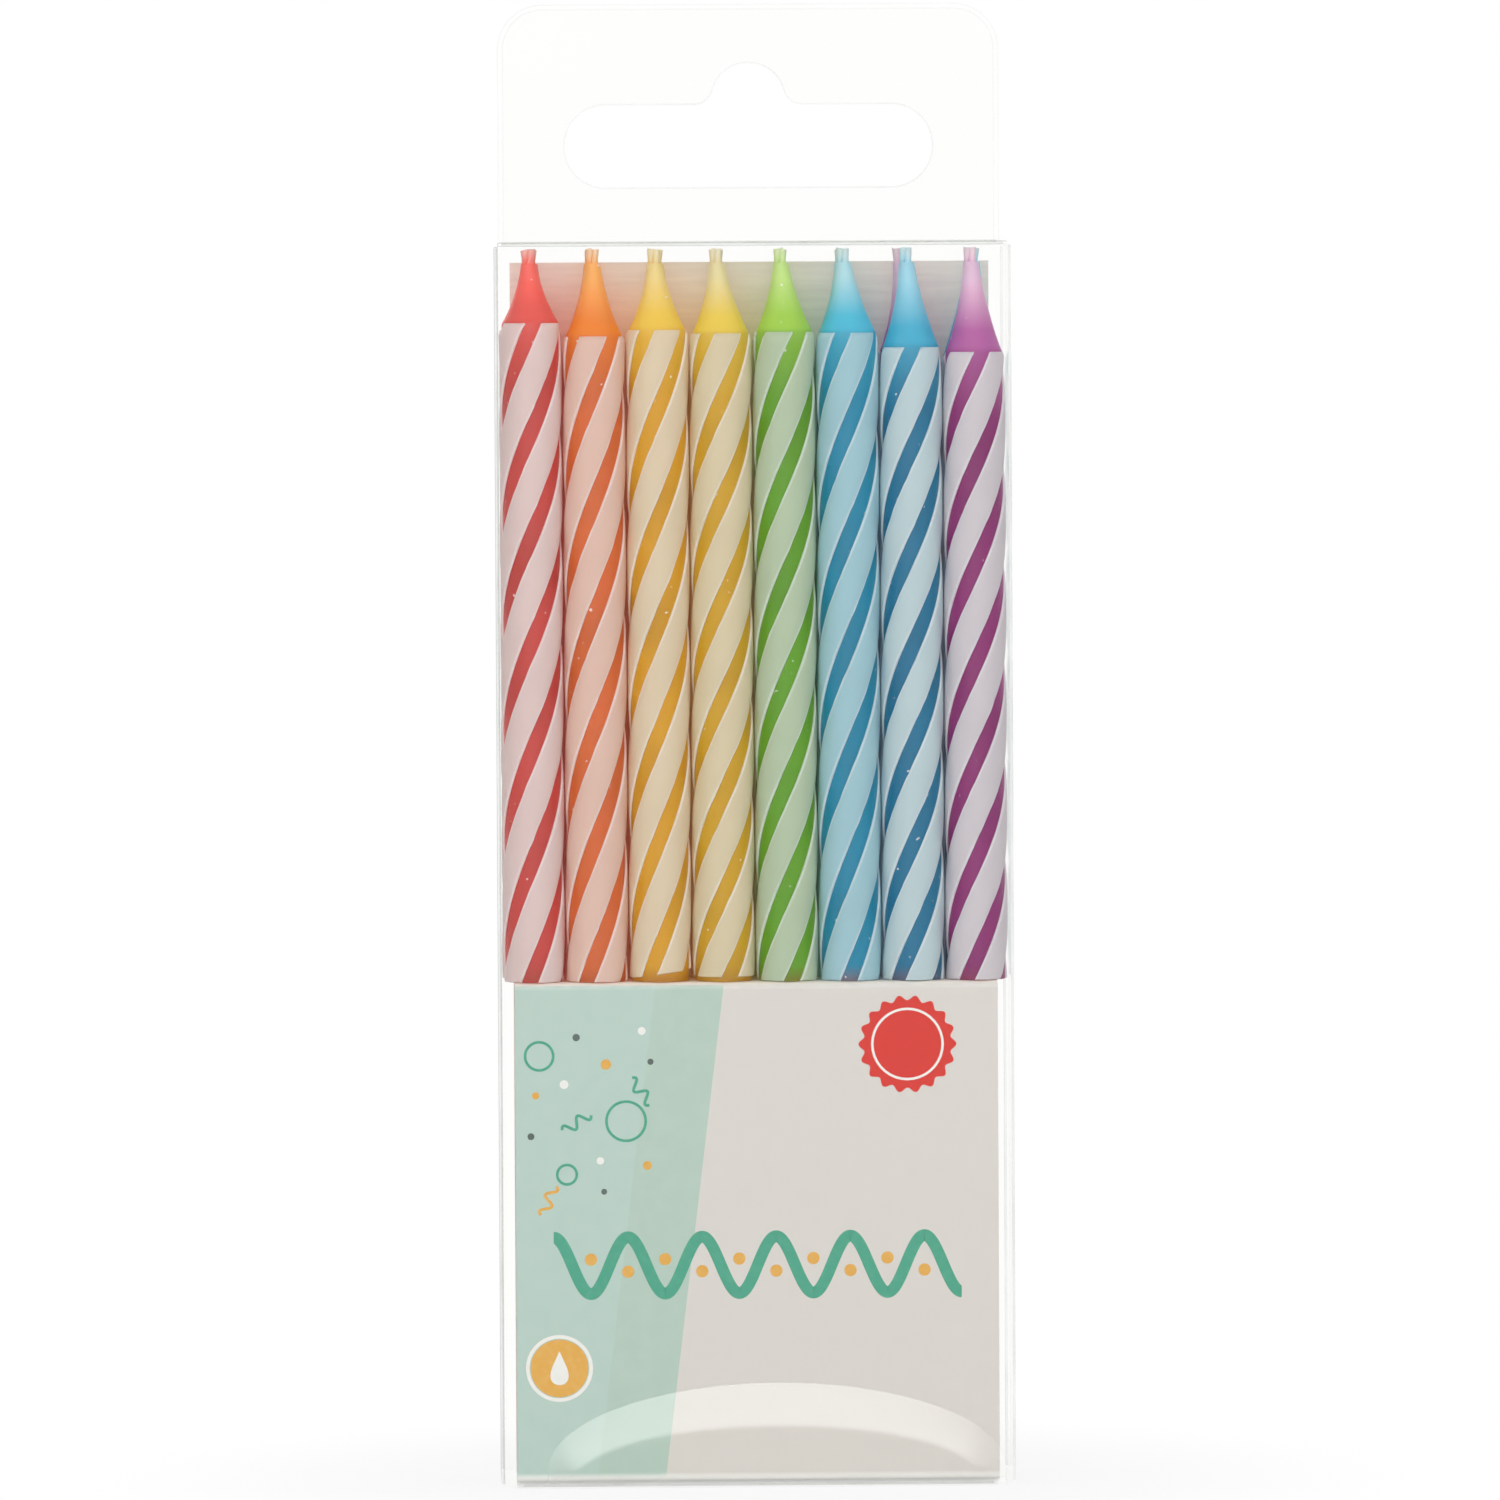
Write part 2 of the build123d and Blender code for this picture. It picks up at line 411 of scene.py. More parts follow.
@dataclass(frozen=True)
class PrintedBoard(Finish):
    """Folding boxboard, coated and offset-printed on one side: a satin print, a fibrous back, a rubbed upper
    fold and a painted highlight on the lower fold.

    The print is on the outside of the fold: the front and the far side of the back panel. The board's place
    is in metres, and the sizes of its print are in millimetres.
    """

    front_y: float
    rear_y: float
    foot_z: float
    ledge_z: float
    mint_light: str = "#B2CCC2"
    mint_deep: str = "#AEC8BA"
    pale: str = "#D9D4CE"
    thin_ink: str = "#F4F1EC"
    reverse: str = "#F4ECE2"
    fibre: str = "#DDD3CC"
    pulp: str = "#FBFAF7"
    slope: float = 0.122
    mint_edge: float = -13.1
    pale_edge: float = -7.6
    print_depth: float = 0.15

    def nodes(self, tree: Tree) -> Node:
        """Two slanted fields of mint and one of pale grey on the print side, fibrous board elsewhere.

        Args:
            tree: The material's empty tree.

        Returns:
            The board's shader.
        """
        place = add(tree, "TexCoord").outputs["Object"]
        x, y, z = add(tree, "SeparateXYZ", {"Vector": place}).outputs
        # Each field's edge leans 7 degrees: its x grows by a share of z.
        lean = add(tree, "Math", {0: z, 1: -self.slope, 2: x}, operation="MULTIPLY_ADD")
        fields = linear(self.mint_light)
        for edge, code in ((self.mint_edge, self.mint_deep), (self.pale_edge, self.pale)):
            past = add(tree, "Math", {0: lean, 1: edge * MM}, operation="GREATER_THAN")
            fields = add(tree, "Mix", {0: past, MIX_A: fields, MIX_B: linear(code)}, data_type="RGBA")
        ink = add(tree, "TexNoise", {"Vector": place, "Scale": per_mm(1.2), "Detail": 4.0})
        mottle = add(tree, "MapRange", {"Value": ink, "To Max": 0.16})
        printed = add(tree, "Mix", {
            0: mottle, MIX_A: fields, MIX_B: linear(self.thin_ink)}, data_type="RGBA")
        # Board fibres run across the machine direction; they are drawn 0.5 mm apart, so that they show.
        stretched = add(tree, "Mapping", {"Vector": place, "Scale": (0.08, 1.0, 1.0)})
        fibres = add(tree, "TexNoise", {"Vector": stretched, "Scale": per_mm(0.5), "Detail": 4.0})
        streak = add(tree, "MapRange", {"Value": fibres, "From Min": 0.3, "From Max": 0.7, "To Max": 0.5})
        board = add(tree, "Mix", {
            0: streak, MIX_A: linear(self.reverse), MIX_B: linear(self.fibre)}, data_type="RGBA")
        depth = self.print_depth * MM
        before = add(tree, "Math", {0: y, 1: self.front_y + depth}, operation="LESS_THAN")
        behind = add(tree, "Math", {0: y, 1: self.rear_y - depth}, operation="GREATER_THAN")
        outside = add(tree, "Math", {0: before, 1: behind}, operation="MAXIMUM")
        dressed = add(tree, "Mix", {0: outside, MIX_A: board, MIX_B: printed}, data_type="RGBA")
        # The coating cracks along the upper fold and shows the white pulp.
        fold = add(tree, "MapRange", {
            "Value": z, "From Min": self.ledge_z - 0.55 * MM, "From Max": self.ledge_z - 0.1 * MM})
        crack = add(tree, "Math", {0: fold, 1: ink}, operation="MULTIPLY")
        cracked = add(tree, "Math", {0: crack, 1: before}, operation="MULTIPLY")
        # A painted highlight: the lower fold, turned down towards the floor, is lightened to pulp white
        # against its shade.
        painted_foot_highlight = add(tree, "MapRange", {
            "Value": z, "From Min": self.foot_z + 0.75 * MM, "From Max": self.foot_z + 0.35 * MM,
            "To Max": 0.95})
        # rubbed holds the rubbed upper fold and the painted highlight on the lower fold.
        rubbed = add(tree, "Math", {0: cracked, 1: painted_foot_highlight}, operation="MAXIMUM")
        colour = add(tree, "Mix", {0: rubbed, MIX_A: dressed, MIX_B: linear(self.pulp)}, data_type="RGBA")
        gloss = add(tree, "MapRange", {"Value": outside, "To Min": 0.85, "To Max": 0.42})
        relief = add(tree, "Bump", {"Height": fibres, "Strength": 0.25, "Distance": 0.03 * MM})
        return add(tree, "BsdfPrincipled", {
            "Base Color": colour, "Roughness": gloss, "IOR": PRINT_IOR, "Normal": relief})


@dataclass(frozen=True)
class OffsetInk(Finish):
    """A film of offset ink on coated board: flat and satin, a little thin where the grain stands up."""

    body: str
    thin: str

    def nodes(self, tree: Tree) -> Node:
        """The ink's colour, thinned in small spots.

        Args:
            tree: The material's empty tree.

        Returns:
            The ink's shader.
        """
        place = add(tree, "TexCoord").outputs["Object"]
        spots = add(tree, "TexNoise", {"Vector": place, "Scale": per_mm(0.5), "Detail": 3.0})
        thinned = add(tree, "MapRange", {"Value": spots, "From Min": 0.45, "From Max": 0.8, "To Max": 0.6})
        colour = add(tree, "Mix", {
            0: thinned, MIX_A: linear(self.body), MIX_B: linear(self.thin)}, data_type="RGBA")
        gloss = add(tree, "MapRange", {"Value": spots, "To Min": 0.36, "To Max": 0.5})
        return add(tree, "BsdfPrincipled", {"Base Color": colour, "Roughness": gloss, "IOR": PRINT_IOR})


@dataclass(frozen=True)
class StudioFloor(Finish):
    """White seamless paper: it shows as white to the camera and keeps the box's soft shadow."""

    paper: str = "#EDEDED"
    pulp: str = "#F2F2F2"
    near: float = 22.0
    far: float = 60.0
    near_white: float = 0.85

    def nodes(self, tree: Tree) -> Node:
        """Matt paper by the box, which turns to plain white for the camera further out.

        Args:
            tree: The material's empty tree.

        Returns:
            The paper's shader.
        """
        place = add(tree, "TexCoord").outputs["Object"]
        pulp = add(tree, "TexNoise", {"Vector": place, "Scale": per_mm(2.0)})
        shade = add(tree, "Mix", {
            0: pulp, MIX_A: linear(self.paper), MIX_B: linear(self.pulp)}, data_type="RGBA")
        paper = add(tree, "BsdfDiffuse", {"Color": shade})
        away = add(tree, "VectorMath", {0: place}, operation="LENGTH")
        fade = add(tree, "MapRange", {
            "Value": away, "From Min": self.near * MM, "From Max": self.far * MM,
            "To Min": self.near_white}, interpolation_type="SMOOTHSTEP")
        share = add(tree, "Math", {0: seen_directly(tree), 1: fade}, operation="MULTIPLY")
        white = add(tree, "Emission", {"Color": linear(WHITE), "Strength": 1.0})
        return add(tree, "MixShader", {0: share, 1: paper, 2: white})


def everything(bm: BMesh) -> list:
    """All the points, edges and faces of a bmesh."""
    return bm.verts[:] + bm.edges[:] + bm.faces[:]


def rotate(bm: BMesh, verts: Sequence[BMVert], angle: float) -> None:
    """Turn points of a bmesh about Z, by an angle in radians."""
    bmesh.ops.rotate(bm, verts=verts, cent=(0, 0, 0), matrix=Matrix.Rotation(angle, 3, "Z"))


def publish(bm: BMesh, name: str, finish: Finish, body: str, stands_for: Iterable[str] = (),
            sharp: float = 40.0, marks: dict[str, Callable[[Vector], float]] | None = None) -> None:
    """Turn a bmesh into a finished piece that rides on a body.

    Args:
        bm: The mesh, in metres in the row frame; it is freed.
        name: The piece's name.
        finish: The piece's finish.
        body: The body that it moves with.
        stands_for: The nodes that it replaces.
        sharp: Edges that turn by more than this many degrees stay sharp.
        marks: Point attributes, each worked out from a point's place.
    """
    mesh = bpy.data.meshes.new(name)
    bm.to_mesh(mesh)
    bm.free()
    mesh.shade_smooth()
    mesh.set_sharp_from_angle(angle=math.radians(sharp))
    for mark, value in (marks or {}).items():
        attribute = mesh.attributes.new(mark, "FLOAT", "POINT")
        attribute.data.foreach_set("value", [value(v.co) for v in mesh.vertices])
    mesh.materials.append(finish.material())
    piece = bpy.data.objects.new(name, mesh)
    bpy.context.scene.collection.objects.link(piece)
    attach(piece, body)
    if stands_for:
        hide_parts(*stands_for)
    LOG.info("%s: %d faces on %s", name, len(mesh.polygons), body)


def dress(node: str, finish: Finish) -> None:
    """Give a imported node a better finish.

    Args:
        node: The node's name.
        finish: The finish that it gets.
    """
    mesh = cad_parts[node].data
    mesh.materials.clear()
    mesh.materials.append(finish.material())
    LOG.info("%s: packed node, %s", node, finish.name)


class WaxColour(Enum):
    """The eight dyes, each with its colour in thick wax, on the neck, at the wick and under a white band; the
    wick colour is paler dye brightened by a painted glow and a painted highlight.
    """

    RED = ("#C9433C", "#E4574E", "#FA665A", "#E0C9C5")
    ORANGE = ("#D8682A", "#EE8622", "#FAB058", "#E2BFB0")
    YELLOW = ("#D89E0C", "#EEC844", "#EFD68C", "#DFCDB0")
    LEMON = ("#CEA00C", "#E9CC46", "#E8DAA4", "#D9CBAA")
    GREEN = ("#5E9D0A", "#A2D044", "#C4E486", "#B5C6A9")
    SKY = ("#0686A8", "#44BCDA", "#B2DEE6", "#A0C7D1")
    BLUE = ("#067096", "#42B0D0", "#A2DAEC", "#BED2D6")
    PURPLE = ("#8D2270", "#B660A4", "#EAC2DC", "#D2CBD0")


class Uneven(Enum):
    """How wax and cotton are uneven: depth and spacing in millimetres, and a number to tell them apart."""

    CORE = (0.025, 3.0, 0.0)
    NECK = (0.05, 1.6, 2.0)
    BAND_FACE = (0.02, 2.0, 1.0)
    BAND_EDGE = (0.06, 2.6, 4.0)
    BAND_NICKS = (0.05, 0.9, 9.0)
    BAND_TOP = (0.2, 1.1, 5.0)
    BAND_FOOT = (0.14, 1.3, 6.0)
    WICK_END = (0.35, 0.5, 3.0)


@dataclass(frozen=True)
class Twist:
    """How one candle came out of the twisting. Sizes in millimetres, angles in degrees."""

    lead: float
    turn: float
    lean: float = 0.0
    waver: float = 0.0
    bare: float = 0.0
    slant: float = 0.0
    fray: float = 0.0


@dataclass
class Candle:
    """A spiral candle: a dyed core drawn out to a neck, four white bands up it, and a waxed wick.

    Sizes in millimetres. The counts of cuts, sides and steps say how finely each surface is divided.
    """

    row: str
    colour: WaxColour
    twist: Twist
    number: int
    core_radius: float = 2.28
    bore_radius: float = 0.58
    foot_round: float = 0.04
    neck_radius: float = 0.61
    neck_hollow: float = 0.25
    core_sides: int = 40
    core_cuts: int = 70
    neck_cuts: int = 18
    bands: int = 4
    white_share: float = 0.63
    bond: float = 0.02
    band_radius: float = 2.53
    band_edge_radius: float = 2.45
    band_edge_round: float = 0.06
    band_sides: int = 14
    band_steps: int = 110
    top_trim: float = 0.5
    top_taper: float = 0.1
    foot_trim: float = 0.4
    foot_taper: float = 0.03
    wick_bare: float = 1.3
    strands: int = 3
    strand_radius: float = 0.3
    strand_offset: float = 0.25
    strand_lead: float = 14.0
    strand_sides: int = 8
    strand_steps: int = 24
    frayed: float = 1.4
    sway: float = 0.15
    apart: float = 7.3

    def __post_init__(self) -> None:
        """Read the candle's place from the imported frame."""
        low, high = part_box(self.node("core"))
        self.axis = Vector(((low.x + high.x) / 2, (low.y + high.y) / 2, 0.0))
        self.foot = low.z
        self.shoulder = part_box(self.node("bands"))[1].z
        self.length = self.shoulder - self.foot
        self.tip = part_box(self.node("wick"))[1].z
        self.neck_end = self.tip - self.wick_bare * MM
        sway = random.Random(self.number).uniform(-self.sway, self.sway)
        self.lean = Vector((self.twist.lean, sway, 0.0)) * MM

    def node(self, part: str) -> str:
        """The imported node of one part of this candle."""
        return f"{self.row}_{self.colour.name.lower()}_{part}"

    def leaning(self, z: float) -> Vector:
        """How far the candle's drawn end stands off its axis at a height."""
        share = max(0.0, (z - self.shoulder) / (self.tip - self.shoulder))
        return self.lean * share ** 1.5

    def ripple(self, point: Vector, kind: Uneven) -> float:
        """Smooth unevenness at a point, as wax has from being drawn.

        Args:
            point: The place, in metres.
            kind: Which unevenness.

        Returns:
            How far the surface stands out there, in millimetres.
        """
        depth, spacing, layer = kind.value
        return depth * noise.noise(point / (spacing * MM) + Vector((self.number * self.apart, layer, 0.0)))

    def nick(self, point: Vector, kind: Uneven) -> float:
        """How much an uneven end lacks at a point, from nothing to the depth of the unevenness."""
        return (kind.value[0] + self.ripple(point, kind)) / 2

    def build(self) -> None:
        """Build and dress the core, the bands and the wick."""
        body, neck, tip, white = self.colour.value
        name = self.colour.name.lower()
        self.build_core(ColouredWax(f"dyed_paraffin_{name}", body, neck, tip))
        self.build_bands(WhiteWax(f"white_paraffin_{name}", white))
        # The wick takes the tip colour, with its painted glow and highlight.
        self.build_wick(WaxedCotton(f"waxed_cotton_{name}", tip))

    def rise(self, point: Vector) -> float:
        """Find the height of a point along the candle.

        Args:
            point: A place on the core, in metres.

        Returns:
            0 at the foot, 0.5 at the shoulder, 1 at the neck's end.
        """
        if point.z <= self.shoulder:
            return 0.5 * (point.z - self.foot) / self.length
        return 0.5 + 0.5 * (point.z - self.shoulder) / (self.neck_end - self.shoulder)

    def build_core(self, finish: Finish) -> None:
        """A bored cylinder that curves in to a neck and runs out as a skin up the wick.

        Args:
            finish: The dyed wax.
        """
        bm = bmesh.new()
        foot, shoulder, neck_end = self.foot / MM, self.shoulder / MM, self.neck_end / MM
        corners = [(self.bore_radius, foot), (self.core_radius - self.foot_round, foot),
                   (self.core_radius, foot + self.foot_round), (self.core_radius, shoulder),
                   (self.neck_radius, neck_end), (self.bore_radius, neck_end)]
        ring = [bm.verts.new((r * MM, 0.0, z * MM)) for r, z in corners]
        edges = [bm.edges.new(ends) for ends in zip(ring, ring[1:] + ring[:1])]
        bmesh.ops.subdivide_edges(bm, edges=[edges[2]], cuts=self.core_cuts)
        bmesh.ops.subdivide_edges(bm, edges=[edges[3]], cuts=self.neck_cuts)
        bmesh.ops.spin(bm, geom=everything(bm), cent=(0, 0, 0), axis=(0, 0, 1), angle=math.tau,
                       steps=self.core_sides, use_merge=True)
        bmesh.ops.recalc_face_normals(bm, faces=bm.faces)
        for v in bm.verts:
            out = Vector((v.co.x, v.co.y, 0.0))
            if out.length < self.bore_radius * MM + SLACK:
                v.co += self.leaning(v.co.z)
                continue
            share = min(1.0, max(0.0, (v.co.z - self.shoulder) / (self.neck_end - self.shoulder)))
            grow = -4 * self.neck_hollow * share * (1 - share)
            if share == 0:
                grow += self.ripple(v.co, Uneven.CORE)
            else:
                grow += (1 - share) * self.ripple(v.co, Uneven.NECK)
            v.co += out.normalized() * grow * MM + self.leaning(v.co.z)
        bmesh.ops.translate(bm, verts=bm.verts, vec=self.axis)
        publish(bm, f"{self.node('core')}_wax", finish, "box",
                [self.node("core")], marks={"rise": self.rise})

    def bare(self, x: float) -> float:
        """How much of the core the bands leave bare at the foot, at a place across it, in metres."""
        return (self.twist.bare + self.twist.slant * (x - self.axis.x) / (self.band_radius * MM)) * MM

    def waver(self, share: float) -> float:
        """How far the spiral runs ahead of an even twist, in degrees, at a share of the bands' length."""
        return self.twist.waver * (math.sin(math.pi * share) - 0.5)

    def across_band(self, point: Vector) -> float:
        """Find where a point lies across the nearest band.

        Args:
            point: A place on the bands, in metres.

        Returns:
            Its place across the band, from 0 at one edge to 1 at the other.
        """
        share = 1 - (self.shoulder - point.z) / (self.length - self.bare(point.x))
        angle = math.degrees(math.atan2(point.y - self.axis.y, point.x - self.axis.x)) - self.twist.turn
        angle -= 360 * share * self.length / (self.twist.lead * MM) + self.waver(share)
        step = 360 / self.bands
        return ((angle + step / 2) % step - step / 2) / (step * self.white_share) + 0.5

    def build_bands(self, finish: Finish) -> None:
        """Four bands: a crowned section swept up the core as a screw, with uneven edges and ends.

        Args:
            finish: The white wax.
        """
        bm = bmesh.new()
        width = math.radians(360 / self.bands * self.white_share)
        inner, outer = (self.core_radius + self.bond) * MM, self.band_radius * MM
        ends = [bm.verts.new((radius, 0.0, self.foot)) for radius in (inner, outer)]
        edge = bm.edges.new(ends)
        rotate(bm, ends, -width / 2)
        bmesh.ops.spin(bm, geom=ends + [edge], cent=(0, 0, 0), axis=(0, 0, 1), angle=width,
                       steps=self.band_sides)
        for v in bm.verts:
            if v.co.xy.length > outer - SLACK:
                share = abs(math.atan2(v.co.y, v.co.x)) / (width / 2)
                drop = (self.band_radius - self.band_edge_radius) * share ** 3
                v.co.xy *= 1 - drop / self.band_radius
        corners = [v for v in bm.verts if v.co.xy.length > inner + SLACK and len(v.link_edges) == 2]
        bmesh.ops.bevel(bm, geom=corners, offset=self.band_edge_round * MM, segments=3, profile=0.5,
                        affect="VERTICES", material=-1)
        rotate(bm, bm.verts, math.radians(self.twist.turn))
        for v in bm.verts:
            v.co.z = self.foot
        bmesh.ops.spin(bm, geom=everything(bm), cent=(0, 0, 0), axis=(0, 0, 1),
                       angle=math.tau * self.length / (self.twist.lead * MM),
                       dvec=(0, 0, self.length / self.band_steps), steps=self.band_steps)
        bmesh.ops.recalc_face_normals(bm, faces=bm.faces)
        one = everything(bm)
        for i in range(1, self.bands):
            copy = bmesh.ops.duplicate(bm, geom=one)["geom"]
            rotate(bm, [v for v in copy if isinstance(v, BMVert)], math.tau * i / self.bands)
        for v in bm.verts:
            share = (v.co.z - self.foot) / self.length
            v.co.rotate(Matrix.Rotation(math.radians(self.waver(share)), 3, "Z"))
            v.co += self.axis
            v.co.z = self.shoulder - (1 - share) * (self.length - self.bare(v.co.x))
        self.roughen_bands(bm, inner)
        publish(bm, f"{self.node('bands')}_wax", finish, "box", [self.node("bands")],
                sharp=50.0, marks={"across": self.across_band})

    def roughen_bands(self, bm: BMesh, inner: float) -> None:
        """Make the bands' edges, ends and faces uneven.

        Args:
            bm: The four bands, in place.
            inner: The bands' inner radius, in metres.
        """
        for v in bm.verts:
            out = Vector((v.co.x - self.axis.x, v.co.y - self.axis.y, 0.0))
            if out.length < inner + SLACK:
                continue
            out.normalize()
            share = self.across_band(v.co)
            sideways = Vector((-out.y, out.x, 0.0)) * math.copysign(1.0, share - 0.5)
            ragged = self.ripple(v.co, Uneven.BAND_EDGE) + self.ripple(v.co, Uneven.BAND_NICKS)
            move = sideways * ragged * abs(2 * share - 1) ** 6 + out * self.ripple(v.co, Uneven.BAND_FACE)
            to_top = self.shoulder - v.co.z
            to_foot = v.co.z - self.foot - self.bare(v.co.x)
            for gap, trim, taper, kind, way in (
                    (to_top, self.top_trim, self.top_taper, Uneven.BAND_TOP, -1),
                    (to_foot, self.foot_trim, self.foot_taper, Uneven.BAND_FOOT, 1)):
                near = max(0.0, 1 - gap / (trim * MM))
                move -= out * taper * near ** 2
                move.z += way * near * self.nick(v.co, kind)
            v.co += move * MM

    def build_wick(self, finish: Finish) -> None:
        """Three strands twisted together, cut a little unevenly and frayed at the top.

        Args:
            finish: The waxed cotton.
        """
        bm = bmesh.new()
        for i in range(self.strands):
            angle = math.tau * i / self.strands
            centre = Vector((math.cos(angle), math.sin(angle), 0.0)) * self.strand_offset * MM
            place = Matrix.Translation(centre + Vector((0, 0, self.foot)))
            bmesh.ops.create_circle(bm, cap_ends=True, segments=self.strand_sides,
                                    radius=self.strand_radius * MM, matrix=place)
        height = self.tip - self.foot
        turns = height / (self.strand_lead * MM)
        steps = round(turns * self.strand_steps)
        bmesh.ops.spin(bm, geom=everything(bm), cent=(0, 0, 0), axis=(0, 0, 1), angle=math.tau * turns,
                       dvec=(0, 0, height / steps), steps=steps)
        bmesh.ops.recalc_face_normals(bm, faces=bm.faces)
        for v in bm.verts:
            out = Vector((v.co.x, v.co.y, 0.0))
            near = max(0.0, 1 - (self.tip - v.co.z) / (self.frayed * MM))
            v.co += out * self.twist.fray * near ** 2 + self.leaning(v.co.z)
            v.co.z -= near * self.nick(v.co, Uneven.WICK_END) * MM
        bmesh.ops.translate(bm, verts=bm.verts, vec=self.axis)
        span = self.tip - self.neck_end
        publish(bm, f"{self.node('wick')}_cotton", finish, "box", [self.node("wick")], sharp=70.0,
                marks={"rise": lambda point: min(1.0, max(0.0, (point.z - self.neck_end) / span))})


@dataclass
class CandleRows:
    """The two rows of eight candles."""

    front: dict[WaxColour, Twist] = field(default_factory=lambda: {
        WaxColour.RED: Twist(34.6, 32, lean=-0.15, waver=-8, fray=0.2),
        WaxColour.ORANGE: Twist(36.4, 20, lean=-0.05, waver=-3),
        WaxColour.YELLOW: Twist(35.0, 20, lean=-0.25, bare=0.6, slant=0.35),
        WaxColour.LEMON: Twist(32.0, 57, lean=-0.4, waver=3, bare=0.35),
        WaxColour.GREEN: Twist(33.5, 53, lean=-0.3),
        WaxColour.SKY: Twist(35.3, 38, lean=-0.35, waver=-4),
        WaxColour.BLUE: Twist(31.9, 9, lean=-0.4),
        WaxColour.PURPLE: Twist(31.7, 22, lean=-0.3)})
    rear: dict[WaxColour, Twist] = field(default_factory=lambda: {
        WaxColour.RED: Twist(33.8, 71, lean=0.1),
        WaxColour.ORANGE: Twist(35.2, 44, lean=-0.1),
        WaxColour.YELLOW: Twist(34.1, 8, lean=0.1),
        WaxColour.LEMON: Twist(33.0, 26, lean=-0.15),
        WaxColour.GREEN: Twist(34.6, 83, lean=-0.1),
        WaxColour.SKY: Twist(32.6, 15, lean=-0.3),
        WaxColour.PURPLE: Twist(33.1, 62, lean=-0.75),
        WaxColour.BLUE: Twist(34.0, 39, lean=0.2)})

    def build(self) -> None:
        """Build every candle of both rows, numbered from 1."""
        rows = [("front", *candle) for candle in self.front.items()]
        rows += [("rear", *candle) for candle in self.rear.items()]
        for number, (row, colour, twist) in enumerate(rows, 1):
            Candle(row, colour, twist, number).build()


